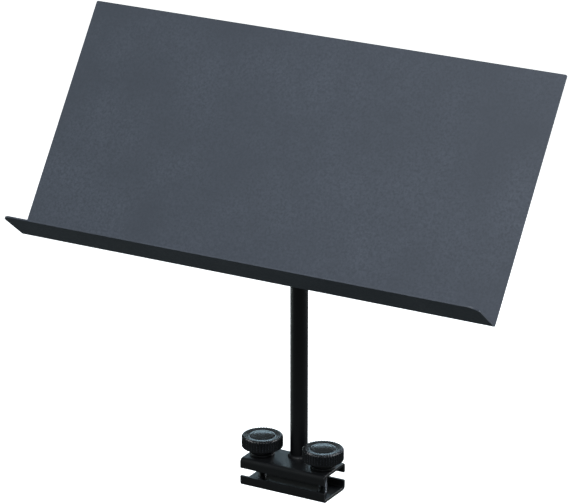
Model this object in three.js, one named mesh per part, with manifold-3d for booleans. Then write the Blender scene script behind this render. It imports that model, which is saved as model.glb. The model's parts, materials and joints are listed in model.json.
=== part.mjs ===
// A clamp-on music desk: a wide folded sheet-metal desk that tilts on a short pole, which stands on a clamp
// of two opposed channels drawn together by two ribbed knobs.
// Millimetres, +X to the reader's right, +Y away from the reader, +Z up. The origin is the middle of the
// clamp, on the plane of the fixed jaw's gripping edges.

import * as THREE from "three";
import { mergeVertices } from "three/addons/utils/BufferGeometryUtils.js";
import Module from "manifold-3d";

const wasm = await Module();
wasm.setup();

// ---- Driving dimensions ----

// Clearances.
const TOUCH_GAP = 0.3; // between faces that touch on the real object
const SLIDE_GAP = 0.3; // between a round or square shank and the hole it turns or slides in

// Desk: one sheet with its lower edge folded up into a ledge.
const DESK_WIDTH = 500;
const DESK_HEIGHT = 240; // up the slope, from the fold to the top edge
const DESK_SHEET = 1.5;
const DESK_BEND_INSIDE = 1; // inside radius of the fold
const DESK_CORNER_RADIUS = 1.5;
const DESK_BACK_LEAN = 35; // degrees from upright, as set at rest
const LEDGE_DEPTH = 47;
const LEDGE_ANGLE = 86; // degrees between the ledge and the desk
const LEDGE_CORNER_RADIUS = 10;

// Tilt hinge: two angle brackets on the desk's back, one each side of the pole head.
const PIVOT_HEIGHT = 297; // above the fixed jaw's gripping edges
const PIVOT_SETBACK = 30; // from the desk's back face to the hinge axis
const PIVOT_ABOVE_FOLD = 116; // up the slope
const BRACKET_SHEET = 2.5;
const BRACKET_BEND_INSIDE = 1.5;
const BRACKET_HEIGHT = 60;
const BRACKET_FLANGE = 28;
const BRACKET_CORNER_RADIUS = 4;
const BRACKET_EYE_RADIUS = 12;
const STUD_FROM_END = 10; // stud centre to the bracket's upper or lower end
const STUD_FROM_EDGE = 11; // stud centre to the flange's outer edge
const STUD_RADIUS = 2.5;
const STUD_PAST_NUT = 2;
const NUT_ACROSS_FLATS = 8;
const NUT_HEIGHT = 5;
const NUT_FLANGE_RADIUS = 5.8;
const NUT_FLANGE_HEIGHT = 1.2;

// Pole and its head.
const POLE_RADIUS = 8.5;
const POLE_WALL = 1.5;
const HEAD_FLAT = 1.5; // depth of the flat on each side of the eye
const HEAD_EYE_RADIUS = 11;
const HEAD_EYE_WRAP = Math.PI / 9; // how far the eye's arc runs below its axis on each side
const HEAD_EYE_TO_COLLAR = 4; // between the brackets' eyes and the collar
const HEAD_COLLAR = 4;
const HEAD_SPIGOT = 30;
const HEAD_PIN_RADIUS = 2;
const HEAD_PIN_DROP = 15; // below the collar
const DISC_RADIUS = 11.5;
const DISC_THICKNESS = 1.5;

// Clamp.
const CLAMP_BOLT_SPACING = 66.6;
const JAW_END = 12.7; // bolt centre to the jaw's end
const JAW_DEPTH = 42;
const JAW_HEIGHT = 10;
const JAW_SHEET = 3;
const JAW_BEND_INSIDE = 1;
const JAW_OPENING = 8; // between the jaws' gripping edges, as set at rest
const CLAMP_THREAD_ENGAGED = 6.7; // as set at rest

// Bolts, washers and knobs.
const BOLT_RADIUS = 4;
const BOLT_CHAMFER = 0.8;
const BOLT_HOLE_PLAY = 0.5; // on the radius
const CARRIAGE_HEAD_RADIUS = 9.5;
const CARRIAGE_HEAD_HEIGHT = 4.4;
const CARRIAGE_RIM = 0.8;
const CARRIAGE_NECK_PAST_SHEET = 0.4;
const PIVOT_THREAD_ENGAGED = 8.9;
const KNOB_WASHER = { radius: 12, thickness: 2 };
const TILT_WASHER = { radius: 8, thickness: 1.6 };
const CLAMP_KNOB = {
  radius: 20,
  headHeight: 12,
  neckRadius: 11.5,
  neckHeight: 5,
  ribs: 42,
  ribDepth: 1.1,
  chamfer: 1.4,
  insertRadius: 7,
  insertLength: 12.5,
  capRadius: 12.5,
};
const TILT_KNOB = {
  radius: 16,
  headHeight: 10.5,
  neckRadius: 9.5,
  neckHeight: 5.5,
  ribs: 34,
  ribDepth: 1,
  chamfer: 1.2,
  insertRadius: 6.5,
  insertLength: 11,
  capRadius: 9.5,
};
const INSERT_RECESS = 0.4; // the insert's foot above the knob's seat
const RIB_TOP_SHARE = 0.56; // of a rib's pitch
const GROOVE_SHARE = 0.2; // of a rib's pitch
const CAP_PLATE = 1.8;
const CAP_CROWN = 0.9;

// Facets.
const POLE_STEPS = 48;
const ROUND_STEPS = 32;
const SMALL_STEPS = 20;
const BEND_STEPS = 5;
const CORNER_STEPS = 6;

// ---- Places worked out from the driving dimensions ----

const BOLT_X = CLAMP_BOLT_SPACING / 2;
const POLE_Y = JAW_DEPTH / 2 - POLE_RADIUS; // the pole's back is flush with the jaw's back
const POLE_BOTTOM = JAW_HEIGHT + TOUCH_GAP;
const HEAD_COLLAR_DROP = BRACKET_EYE_RADIUS + HEAD_EYE_TO_COLLAR; // hinge axis to the top of the collar
const POLE_TOP = PIVOT_HEIGHT - HEAD_COLLAR_DROP - HEAD_COLLAR - TOUCH_GAP;
const HEAD_HALF_X = POLE_RADIUS - HEAD_FLAT;
const DISC_INNER_X = HEAD_HALF_X + TOUCH_GAP;
const EAR_INNER_X = DISC_INNER_X + DISC_THICKNESS + TOUCH_GAP;
const EAR_OUTER_X = EAR_INNER_X + BRACKET_SHEET;
const TILT_WASHER_X = EAR_OUTER_X + TOUCH_GAP;
const TILT_KNOB_X = TILT_WASHER_X + TILT_WASHER.thickness + TOUCH_GAP;
const BRACKET_FACE_Y = -PIVOT_SETBACK + TOUCH_GAP;
const FLANGE_EDGE_X = EAR_INNER_X + BRACKET_FLANGE;
const STUD_X = FLANGE_EDGE_X - STUD_FROM_EDGE;
const STUD_Z = BRACKET_HEIGHT / 2 - STUD_FROM_END;
const NUT_SEAT_Y = BRACKET_FACE_Y + BRACKET_SHEET + TOUCH_GAP;
const STUD_LENGTH = NUT_SEAT_Y + NUT_HEIGHT + STUD_PAST_NUT - BRACKET_FACE_Y;
const PIVOT_BOLT_SEAT_X = EAR_OUTER_X + TOUCH_GAP;
const PIVOT_BOLT_LENGTH = PIVOT_BOLT_SEAT_X + TILT_KNOB_X + INSERT_RECESS + PIVOT_THREAD_ENGAGED;
const JAW_LENGTH = CLAMP_BOLT_SPACING + 2 * JAW_END;
const MOVING_JAW_EDGE_Z = -JAW_OPENING;
const MOVING_JAW_BOTTOM_Z = MOVING_JAW_EDGE_Z - JAW_HEIGHT;
const CLAMP_HEAD_SEAT_Z = MOVING_JAW_BOTTOM_Z - TOUCH_GAP;
const KNOB_WASHER_Z = JAW_HEIGHT + TOUCH_GAP;
const CLAMP_KNOB_Z = KNOB_WASHER_Z + KNOB_WASHER.thickness + TOUCH_GAP;
const CLAMP_BOLT_LENGTH = CLAMP_KNOB_Z + INSERT_RECESS + CLAMP_THREAD_ENGAGED - CLAMP_HEAD_SEAT_Z;
const BOLT_HOLE_RADIUS = BOLT_RADIUS + BOLT_HOLE_PLAY;
const SQUARE_HOLE = 2 * (BOLT_RADIUS + SLIDE_GAP);
const CUT_PAST = 1; // how far a cutter runs past the faces it cuts
const MERGE_REACH = 1e-4; // vertices closer than this are one

// ---- Shapes, prisms and solids ----

const ALONG_X = new THREE.Matrix4().makeBasis(
  new THREE.Vector3(0, 1, 0),
  new THREE.Vector3(0, 0, 1),
  new THREE.Vector3(1, 0, 0),
);

// A prism of a shape in the XY plane, standing on that plane.
function prismUp(shape, height) {
  return new THREE.ExtrudeGeometry(shape, {
    depth: height,
    bevelEnabled: false,
    curveSegments: CORNER_STEPS,
  });
}

// A prism of a shape whose x is Y and whose y is Z, centred on X = 0.
function prismAcross(shape, length) {
  return prismUp(shape, length).translate(0, 0, -length / 2).applyMatrix4(ALONG_X);
}

// A round bar standing on the XY plane.
function bar(radius, height, steps = ROUND_STEPS) {
  return new THREE.CylinderGeometry(radius, radius, height, steps)
    .rotateX(Math.PI / 2)
    .translate(0, 0, height / 2);
}

// A round bar along X, centred on X = 0.
function barAcross(radius, length, steps = ROUND_STEPS) {
  return new THREE.CylinderGeometry(radius, radius, length, steps).rotateZ(Math.PI / 2);
}

// A block standing on the XY plane, centred on the Z axis.
function block(width, depth, height) {
  return new THREE.BoxGeometry(width, depth, height).translate(0, 0, height / 2);
}

// A turned piece about Z. The profile is a list of [radius, height] pairs.
function turned(profile, steps = ROUND_STEPS) {
  const points = profile.map(([radius, height]) => new THREE.Vector2(radius, height));
  return new THREE.LatheGeometry(points, steps).rotateX(Math.PI / 2);
}

function solid(geometry) {
  const bare = geometry.clone();
  bare.deleteAttribute("normal");
  bare.deleteAttribute("uv");
  const merged = mergeVertices(bare, MERGE_REACH);
  return new wasm.Manifold(
    new wasm.Mesh({
      numProp: 3,
      vertProperties: merged.attributes.position.array,
      triVerts: new Uint32Array(merged.index.array),
    }),
  );
}

function joined(...geometries) {
  return geometries.map(solid).reduce((sum, next) => sum.add(next));
}

function cut(body, ...cutters) {
  return cutters.map(solid).reduce((rest, cutter) => rest.subtract(cutter), body);
}

function geometryOf(body) {
  const { numProp, vertProperties, triVerts } = body.getMesh();
  if (numProp !== 3) throw new Error("a solid has more than positions");
  return new THREE.BufferGeometry()
    .setAttribute("position", new THREE.BufferAttribute(vertProperties, 3))
    .setIndex(new THREE.BufferAttribute(triVerts, 1));
}

// The outline of a folded sheet. The corners lie on the fold's outer skin, every fold turns left, and the
// sheet lies on the left of the line of travel.
function foldedSheet(corners, sheet, insideRadius) {
  const outerRadius = insideRadius + sheet;
  const outer = [];
  const inner = [];
  const last = corners.length - 1;
  corners.forEach((corner, i) => {
    const before = corner.clone().sub(corners[Math.max(i - 1, 0)]);
    const after = corners[Math.min(i + 1, last)].clone().sub(corner);
    if (i === 0 || i === last) {
      const leg = i === 0 ? after : before;
      const left = new THREE.Vector2(-leg.y, leg.x).normalize();
      outer.push(corner);
      inner.push(corner.clone().addScaledVector(left, sheet));
      return;
    }
    const turn = after.angle() - before.angle();
    const fold = turn < 0 ? turn + 2 * Math.PI : turn;
    const left = new THREE.Vector2(-before.y, before.x).normalize();
    const centre = corner
      .clone()
      .addScaledVector(before.normalize(), -outerRadius * Math.tan(fold / 2))
      .addScaledVector(left, outerRadius);
    for (let step = 0; step <= BEND_STEPS; step++) {
      const angle = left.angle() + Math.PI + (fold * step) / BEND_STEPS;
      const spoke = new THREE.Vector2(Math.cos(angle), Math.sin(angle));
      outer.push(centre.clone().addScaledVector(spoke, outerRadius));
      inner.push(centre.clone().addScaledVector(spoke, insideRadius));
    }
  });
  return new THREE.Shape([...outer, ...inner.reverse()]);
}

// The waste outside a rounded corner at (0, 0) of a plate that fills x < 0, y < 0.
function cornerWaste(radius) {
  const waste = new THREE.Shape();
  waste.moveTo(0, -radius);
  waste.absarc(-radius, -radius, radius, 0, Math.PI / 2, false);
  waste.lineTo(-radius, CUT_PAST);
  waste.lineTo(CUT_PAST, CUT_PAST);
  waste.lineTo(CUT_PAST, -radius);
  return waste;
}

// A cutter that rounds a plate's corner. The corner is midway through the plate, and outA and outB are unit
// vectors that point out of its two edges.
function cornerCutter(radius, thickness, corner, outA, outB) {
  const through = new THREE.Vector3().crossVectors(outA, outB);
  const frame = new THREE.Matrix4().makeBasis(outA, outB, through).setPosition(corner);
  return prismUp(cornerWaste(radius), thickness).translate(0, 0, -thickness / 2).applyMatrix4(frame);
}

function finish(color, roughness, metalness) {
  return new THREE.MeshStandardMaterial({ color, roughness, metalness, flatShading: true });
}

const deskPaint = () => finish(0x4a515b, 0.62, 0.2);
const blackPaint = () => finish(0x17181b, 0.48, 0.2);
const blackPlastic = () => finish(0x121317, 0.42, 0);
const zincSteel = () => finish(0x9b9ea3, 0.35, 0.9);
const brass = () => finish(0x9a7b3c, 0.38, 0.9);
const greyNylon = () => finish(0x6d6f70, 0.6, 0);

function node(name, shape, material) {
  const mesh = new THREE.Mesh(shape.isBufferGeometry ? shape : geometryOf(shape), material);
  mesh.name = name;
  return mesh;
}

function placed(object, x, y, z) {
  object.position.set(x, y, z);
  return object;
}

// ---- Desk, in the hinge's own frame: +Z up the slope, +Y out of the desk's back ----

function deskPanel() {
  const ledge = THREE.MathUtils.degToRad(LEDGE_ANGLE);
  const ledgeOut = new THREE.Vector2(-Math.sin(ledge), Math.cos(ledge));
  const fold = new THREE.Vector2(-PIVOT_SETBACK, -PIVOT_ABOVE_FOLD);
  const ledgeEdge = fold.clone().addScaledVector(ledgeOut, LEDGE_DEPTH);
  const topEdge = new THREE.Vector2(fold.x, fold.y + DESK_HEIGHT);
  const outline = foldedSheet([ledgeEdge, fold, topEdge], DESK_SHEET, DESK_BEND_INSIDE);
  const cutters = [1, -1].flatMap((side) => {
    const endOut = new THREE.Vector3(side, 0, 0);
    const x = (side * DESK_WIDTH) / 2;
    const topCorner = new THREE.Vector3(x, topEdge.x, topEdge.y);
    const ledgeCorner = new THREE.Vector3(x, ledgeEdge.x, ledgeEdge.y);
    const up = new THREE.Vector3(0, 0, 1);
    const out = new THREE.Vector3(0, ledgeOut.x, ledgeOut.y);
    return [
      cornerCutter(DESK_CORNER_RADIUS, 4 * DESK_SHEET, topCorner, endOut, up),
      cornerCutter(LEDGE_CORNER_RADIUS, 4 * DESK_SHEET, ledgeCorner, endOut, out),
    ];
  });
  return node("desk_panel", cut(solid(prismAcross(outline, DESK_WIDTH)), ...cutters), deskPaint());
}

// An ear's side outline: the full height at the desk, drawn in to the round eye at the hinge.
function earOutline() {
  const half = BRACKET_HEIGHT / 2;
  const shoulderY = BRACKET_FACE_Y + BRACKET_SHEET + BRACKET_BEND_INSIDE + TOUCH_GAP;
  const toShoulder = Math.atan2(half, shoulderY);
  const tangent = toShoulder - Math.acos(BRACKET_EYE_RADIUS / Math.hypot(shoulderY, half));
  const outline = new THREE.Shape();
  outline.moveTo(BRACKET_FACE_Y - CUT_PAST, -half);
  outline.lineTo(shoulderY, -half);
  outline.absarc(0, 0, BRACKET_EYE_RADIUS, -tangent, tangent, false);
  outline.lineTo(shoulderY, half);
  outline.lineTo(BRACKET_FACE_Y - CUT_PAST, half);
  return outline;
}

// The angle bracket on the left of the pole. The other side is this one turned half round about Y.
function tiltBracket(name, pivotCutter) {
  const corners = [
    new THREE.Vector2(-FLANGE_EDGE_X, BRACKET_FACE_Y),
    new THREE.Vector2(-EAR_INNER_X, BRACKET_FACE_Y),
    new THREE.Vector2(-EAR_INNER_X, BRACKET_EYE_RADIUS + CUT_PAST),
  ];
  const angle = prismUp(foldedSheet(corners, BRACKET_SHEET, BRACKET_BEND_INSIDE), BRACKET_HEIGHT);
  const sides = prismAcross(earOutline(), 2 * (FLANGE_EDGE_X + CUT_PAST));
  const body = solid(angle.translate(0, 0, -BRACKET_HEIGHT / 2)).intersect(solid(sides));
  const cutters = [1, -1].flatMap((side) => [
    bar(STUD_RADIUS + SLIDE_GAP, BRACKET_SHEET + 2 * CUT_PAST, SMALL_STEPS)
      .rotateX(-Math.PI / 2)
      .translate(-STUD_X, BRACKET_FACE_Y - CUT_PAST, side * STUD_Z),
    cornerCutter(
      BRACKET_CORNER_RADIUS,
      BRACKET_SHEET + 2 * CUT_PAST,
      new THREE.Vector3(-FLANGE_EDGE_X, BRACKET_FACE_Y + BRACKET_SHEET / 2, (side * BRACKET_HEIGHT) / 2),
      new THREE.Vector3(-1, 0, 0),
      new THREE.Vector3(0, 0, side),
    ),
  ]);
  return node(name, cut(body, pivotCutter, ...cutters), blackPaint());
}

function tiltBrackets() {
  const throughEar = 2 * (BRACKET_SHEET + CUT_PAST);
  const squareHole = block(SQUARE_HOLE, SQUARE_HOLE, throughEar)
    .rotateY(Math.PI / 2)
    .translate(-EAR_OUTER_X - CUT_PAST, 0, 0);
  const roundHole = barAcross(BOLT_RADIUS + SLIDE_GAP, throughEar).translate(-EAR_OUTER_X, 0, 0);
  const right = tiltBracket("tilt_bracket_right", roundHole);
  right.rotation.y = Math.PI;
  return [tiltBracket("tilt_bracket_left", squareHole), right];
}

function weldStud(name) {
  const tip = BOLT_CHAMFER / 2;
  const profile = [
    [0, 0],
    [STUD_RADIUS, 0],
    [STUD_RADIUS, STUD_LENGTH - tip],
    [STUD_RADIUS - tip, STUD_LENGTH],
    [0, STUD_LENGTH],
  ];
  return node(name, turned(profile, SMALL_STEPS), zincSteel());
}

function flangeNut(name) {
  const hexRadius = NUT_ACROSS_FLATS / Math.sqrt(3);
  const body = joined(bar(NUT_FLANGE_RADIUS, NUT_FLANGE_HEIGHT, SMALL_STEPS), bar(hexRadius, NUT_HEIGHT, 6));
  const bore = bar(STUD_RADIUS + SLIDE_GAP, NUT_HEIGHT + 2 * CUT_PAST, SMALL_STEPS);
  return node(name, cut(body, bore.translate(0, 0, -CUT_PAST)), zincSteel());
}

// The four welded studs with their nuts, pointing out of the desk's back.
function bracketFixings() {
  return [
    ["left", -1],
    ["right", 1],
  ].flatMap(([sideName, side]) =>
    [
      ["upper", 1],
      ["lower", -1],
    ].flatMap(([levelName, level]) => {
      const stud = weldStud(`weld_stud_${sideName}_${levelName}`);
      const nut = flangeNut(`flange_nut_${sideName}_${levelName}`);
      [stud, nut].forEach((piece) => {
        piece.rotation.x = -Math.PI / 2;
      });
      const x = side * STUD_X;
      const z = level * STUD_Z;
      return [placed(stud, x, BRACKET_FACE_Y, z), placed(nut, x, NUT_SEAT_Y, z)];
    }),
  );
}

// ---- Bolts, washers and knobs, each standing on its seat with its axis along +Z ----

// A carriage bolt with its head below the seat and its square neck and shank above.
function carriageBolt(name, length, neckHeight) {
  const crown = [];
  for (let step = 0; step < BEND_STEPS; step++) {
    const angle = (step / BEND_STEPS) * (Math.PI / 2);
    const depth = CARRIAGE_RIM + (CARRIAGE_HEAD_HEIGHT - CARRIAGE_RIM) * Math.cos(angle);
    crown.push([CARRIAGE_HEAD_RADIUS * Math.sin(angle), -depth]);
  }
  const head = turned([...crown, [CARRIAGE_HEAD_RADIUS, -CARRIAGE_RIM], [CARRIAGE_HEAD_RADIUS, 0], [0, 0]]);
  const shank = turned([
    [0, -CARRIAGE_RIM],
    [BOLT_RADIUS, -CARRIAGE_RIM],
    [BOLT_RADIUS, length - BOLT_CHAMFER],
    [BOLT_RADIUS - BOLT_CHAMFER, length],
    [0, length],
  ]);
  const neck = block(2 * BOLT_RADIUS, 2 * BOLT_RADIUS, neckHeight + CARRIAGE_RIM);
  return node(name, joined(head, shank, neck.translate(0, 0, -CARRIAGE_RIM)), zincSteel());
}

function washer(name, { radius, thickness }, material = zincSteel()) {
  const hole = BOLT_RADIUS + SLIDE_GAP;
  const profile = [
    [hole, 0],
    [radius, 0],
    [radius, thickness],
    [hole, thickness],
    [hole, 0],
  ];
  return node(name, turned(profile), material);
}

// A ribbed round. In each pitch the rib's flat top and the groove's floor have these shares of the pitch.
function ribbedOutline(radius, ribs, ribDepth) {
  const outline = [];
  const pitch = (2 * Math.PI) / ribs;
  const root = radius - ribDepth;
  for (let rib = 0; rib < ribs; rib++) {
    [
      [-RIB_TOP_SHARE / 2, radius],
      [RIB_TOP_SHARE / 2, radius],
      [0.5 - GROOVE_SHARE / 2, root],
      [0.5 + GROOVE_SHARE / 2, root],
    ].forEach(([share, reach]) => {
      const angle = (rib + share) * pitch;
      outline.push(new THREE.Vector2(reach * Math.cos(angle), reach * Math.sin(angle)));
    });
  }
  return new THREE.Shape(outline);
}

function knobShell(name, knob) {
  const top = knob.neckHeight + knob.headHeight;
  const envelope = turned(
    [
      [0, knob.neckHeight],
      [knob.radius - knob.chamfer, knob.neckHeight],
      [knob.radius, knob.neckHeight + knob.chamfer],
      [knob.radius, top - knob.chamfer],
      [knob.radius - knob.chamfer, top],
      [0, top],
    ],
    knob.ribs,
  );
  const outline = ribbedOutline(knob.radius, knob.ribs, knob.ribDepth);
  const ribbed = prismUp(outline, knob.headHeight + 2 * CUT_PAST);
  const head = solid(ribbed.translate(0, 0, knob.neckHeight - CUT_PAST)).intersect(solid(envelope));
  const neck = solid(bar(knob.neckRadius, knob.neckHeight + CUT_PAST));
  const pocket = bar(knob.insertRadius + TOUCH_GAP, INSERT_RECESS + knob.insertLength + TOUCH_GAP + CUT_PAST);
  const capSeat = bar(knob.capRadius, CAP_PLATE + CUT_PAST).translate(0, 0, top - CAP_PLATE);
  const through = bar(BOLT_HOLE_RADIUS, top);
  return node(name, cut(head.add(neck), pocket.translate(0, 0, -CUT_PAST), capSeat, through), blackPlastic());
}

function knobInsert(name, knob) {
  const bore = BOLT_RADIUS + SLIDE_GAP;
  const profile = [
    [bore, 0],
    [knob.insertRadius, 0],
    [knob.insertRadius, knob.insertLength],
    [bore, knob.insertLength],
    [bore, 0],
  ];
  return node(name, turned(profile), brass());
}

function knobCap(name, knob) {
  const radius = knob.capRadius - TOUCH_GAP;
  const profile = [
    [0, 0],
    [radius, 0],
    [radius, CAP_PLATE - TOUCH_GAP],
  ];
  for (let step = 1; step <= BEND_STEPS; step++) {
    const share = 1 - step / BEND_STEPS;
    profile.push([radius * share, CAP_PLATE - TOUCH_GAP + CAP_CROWN * (1 - share * share)]);
  }
  return node(name, turned(profile), blackPlastic());
}

// A knob's three pieces, in a group that stands on the knob's seat.
function knobGroup(suffix, knob) {
  const group = new THREE.Group();
  const capZ = knob.neckHeight + knob.headHeight - CAP_PLATE + TOUCH_GAP;
  group.add(
    knobShell(`knob_shell_${suffix}`, knob),
    placed(knobInsert(`knob_insert_${suffix}`, knob), 0, 0, INSERT_RECESS),
    placed(knobCap(`knob_cap_${suffix}`, knob), 0, 0, capZ),
  );
  return group;
}

// ---- Hinge hardware along X, in the hinge's own frame ----

function tiltHardware() {
  const toX = (object, x) => {
    object.rotation.y = Math.PI / 2;
    return placed(object, x, 0, 0);
  };
  const bolt = carriageBolt("pivot_bolt", PIVOT_BOLT_LENGTH, TOUCH_GAP + BRACKET_SHEET);
  return [
    toX(bolt, -PIVOT_BOLT_SEAT_X),
    toX(washer("tilt_washer", TILT_WASHER), TILT_WASHER_X),
    toX(knobGroup("tilt", TILT_KNOB), TILT_KNOB_X),
  ];
}

function frictionDiscs() {
  return [
    ["left", -DISC_INNER_X - DISC_THICKNESS],
    ["right", DISC_INNER_X],
  ].map(([sideName, x]) => {
    const size = { radius: DISC_RADIUS, thickness: DISC_THICKNESS };
    const disc = washer(`friction_disc_${sideName}`, size, greyNylon());
    disc.rotation.y = Math.PI / 2;
    return placed(disc, x, 0, 0);
  });
}

// ---- Pole and its head ----

// The head: a flat-sided eye on a collar, with a spigot pinned into the tube. Its origin is the hinge axis.
function poleHead() {
  const collarTop = -HEAD_COLLAR_DROP;
  const collarFoot = collarTop - HEAD_COLLAR;
  const eye = new THREE.Shape();
  eye.moveTo(-POLE_RADIUS, collarTop - TOUCH_GAP);
  eye.lineTo(POLE_RADIUS, collarTop - TOUCH_GAP);
  eye.absarc(0, 0, HEAD_EYE_RADIUS, -HEAD_EYE_WRAP, Math.PI + HEAD_EYE_WRAP, false);
  const body = joined(
    prismAcross(eye, 2 * HEAD_HALF_X),
    bar(POLE_RADIUS, HEAD_COLLAR, POLE_STEPS).translate(0, 0, collarFoot),
    bar(POLE_RADIUS - POLE_WALL - SLIDE_GAP, HEAD_SPIGOT + TOUCH_GAP, POLE_STEPS).translate(
      0,
      0,
      collarFoot - HEAD_SPIGOT,
    ),
  );
  const pivotHole = barAcross(BOLT_RADIUS + SLIDE_GAP, 2 * (HEAD_HALF_X + CUT_PAST));
  return node("pole_head", cut(body, pivotHole, pinHole(collarFoot - HEAD_PIN_DROP)), blackPaint());
}

function pinHole(z) {
  return barAcross(HEAD_PIN_RADIUS + SLIDE_GAP, 2 * (POLE_RADIUS + CUT_PAST), SMALL_STEPS).translate(0, 0, z);
}

function headPin() {
  return node("head_pin", barAcross(HEAD_PIN_RADIUS, 2 * POLE_RADIUS - TOUCH_GAP, SMALL_STEPS), zincSteel());
}

function poleTube(pinZ) {
  const length = POLE_TOP - POLE_BOTTOM;
  const inner = POLE_RADIUS - POLE_WALL;
  const profile = [
    [inner, 0],
    [POLE_RADIUS, 0],
    [POLE_RADIUS, length],
    [inner, length],
    [inner, 0],
  ];
  return node("pole_tube", cut(solid(turned(profile, POLE_STEPS)), pinHole(pinZ)), blackPaint());
}

// ---- Clamp ----

// A channel with its web on top and its gripping edges on Z = 0.
function jawChannel(name, cutterAt) {
  const half = JAW_DEPTH / 2;
  const corners = [
    new THREE.Vector2(half, 0),
    new THREE.Vector2(half, JAW_HEIGHT),
    new THREE.Vector2(-half, JAW_HEIGHT),
    new THREE.Vector2(-half, 0),
  ];
  const channel = prismAcross(foldedSheet(corners, JAW_SHEET, JAW_BEND_INSIDE), JAW_LENGTH);
  return node(name, cut(solid(channel), cutterAt(BOLT_X), cutterAt(-BOLT_X)), blackPaint());
}

function fixedJaw() {
  return jawChannel("fixed_jaw", (x) => bar(BOLT_HOLE_RADIUS, JAW_HEIGHT + CUT_PAST).translate(x, 0, 0));
}

function movingJaw() {
  const jaw = jawChannel("moving_jaw", (x) =>
    block(SQUARE_HOLE, SQUARE_HOLE, JAW_HEIGHT + CUT_PAST).translate(x, 0, 0),
  );
  jaw.rotation.x = Math.PI;
  return placed(jaw, 0, 0, MOVING_JAW_EDGE_Z);
}

// ---- Assembly ----

function deskGroup() {
  const group = new THREE.Group();
  group.add(deskPanel(), ...tiltBrackets(), ...bracketFixings(), ...tiltHardware());
  group.rotation.x = -THREE.MathUtils.degToRad(DESK_BACK_LEAN);
  return placed(group, 0, POLE_Y, PIVOT_HEIGHT);
}

function poleGroup() {
  const group = new THREE.Group();
  const pinZ = PIVOT_HEIGHT - HEAD_COLLAR_DROP - HEAD_COLLAR - HEAD_PIN_DROP;
  const hinge = new THREE.Group();
  hinge.add(poleHead(), ...frictionDiscs());
  group.add(
    placed(poleTube(pinZ - POLE_BOTTOM), 0, 0, POLE_BOTTOM),
    placed(headPin(), 0, 0, pinZ),
    placed(hinge, 0, 0, PIVOT_HEIGHT),
  );
  return placed(group, 0, POLE_Y, 0);
}

function clampSide(sideName, x) {
  const group = new THREE.Group();
  const neckHeight = TOUCH_GAP + JAW_SHEET + CARRIAGE_NECK_PAST_SHEET;
  const bolt = carriageBolt(`clamp_bolt_${sideName}`, CLAMP_BOLT_LENGTH, neckHeight);
  group.add(
    placed(bolt, 0, 0, CLAMP_HEAD_SEAT_Z),
    placed(washer(`knob_washer_${sideName}`, KNOB_WASHER), 0, 0, KNOB_WASHER_Z),
    placed(knobGroup(sideName, CLAMP_KNOB), 0, 0, CLAMP_KNOB_Z),
  );
  return placed(group, x, 0, 0);
}

const musicDesk = new THREE.Group();
musicDesk.add(
  fixedJaw(),
  movingJaw(),
  clampSide("left", -BOLT_X),
  clampSide("right", BOLT_X),
  poleGroup(),
  deskGroup(),
);

export default musicDesk;
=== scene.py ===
"""The looks of a clamp-on music desk: a folded sheet-metal desk that tilts on a short pole, which stands on a
clamp of two opposed channels with two ribbed knobs.

Shapes are drawn in millimetres, each in its own upright frame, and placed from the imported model's boxes."""

import json
import math

import bmesh
import bpy
from mathutils import Matrix, Vector, noise

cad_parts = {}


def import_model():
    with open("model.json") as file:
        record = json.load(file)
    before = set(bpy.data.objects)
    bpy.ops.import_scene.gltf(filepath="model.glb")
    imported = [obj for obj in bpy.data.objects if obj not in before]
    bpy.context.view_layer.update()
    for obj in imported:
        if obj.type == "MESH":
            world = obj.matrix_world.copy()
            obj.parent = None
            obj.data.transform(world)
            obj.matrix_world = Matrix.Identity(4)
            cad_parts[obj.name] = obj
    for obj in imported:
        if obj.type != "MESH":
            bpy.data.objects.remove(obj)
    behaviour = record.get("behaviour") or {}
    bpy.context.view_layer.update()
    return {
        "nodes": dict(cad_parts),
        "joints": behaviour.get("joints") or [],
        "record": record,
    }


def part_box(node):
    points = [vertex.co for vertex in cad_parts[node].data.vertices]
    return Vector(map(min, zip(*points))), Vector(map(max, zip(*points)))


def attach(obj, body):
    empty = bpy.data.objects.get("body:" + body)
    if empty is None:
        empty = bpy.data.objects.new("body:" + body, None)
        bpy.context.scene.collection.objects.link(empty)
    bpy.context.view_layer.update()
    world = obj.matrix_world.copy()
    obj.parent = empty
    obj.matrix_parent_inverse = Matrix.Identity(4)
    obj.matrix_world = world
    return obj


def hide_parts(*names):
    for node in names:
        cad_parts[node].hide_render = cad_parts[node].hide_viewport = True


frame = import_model()

MM = 0.001

# ---- Sizes, in millimetres ----

GAP = 0.3  # left between touching pieces, and the play round a shank, stud or bush

DESK_WIDTH = 500
DESK_HEIGHT = 240
DESK_SHEET = 1.5
DESK_BEND_OUTSIDE = 2.5
DESK_CORNER = 1.5
DESK_BACK_Y = -30  # from the hinge axis to the desk's back face
DESK_FOLD_Z = -116  # from the hinge axis down the slope to the fold
DESK_WAVE = 0.12  # how far the large sheet strays from flat
DESK_WAVE_LENGTH = 130
DESK_COLUMNS = 72
LEDGE_DEPTH = 47
LEDGE_ANGLE = math.radians(86)
LEDGE_CORNER = 10
CORNER_STEPS = 8

BRACKET_SHEET = 2.5
BRACKET_BEND_OUTSIDE = 4
BRACKET_HEIGHT = 60
BRACKET_CORNER = 4
BRACKET_EYE = 12

POLE_WALL = 1.5
HEAD_EYE = 11
HEAD_EYE_WRAP = math.pi / 9  # how far the eye's arc goes on below level, at each side
HEAD_COLLAR = 4
HEAD_SPIGOT = 30
PIN_HOLE = 2.3
PIN_SHEET = 0.55
PIN_SLOT = 0.22  # half of the pin's open seam, in radians

JAW_SHEET = 3
JAW_BEND_OUTSIDE = 4

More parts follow.
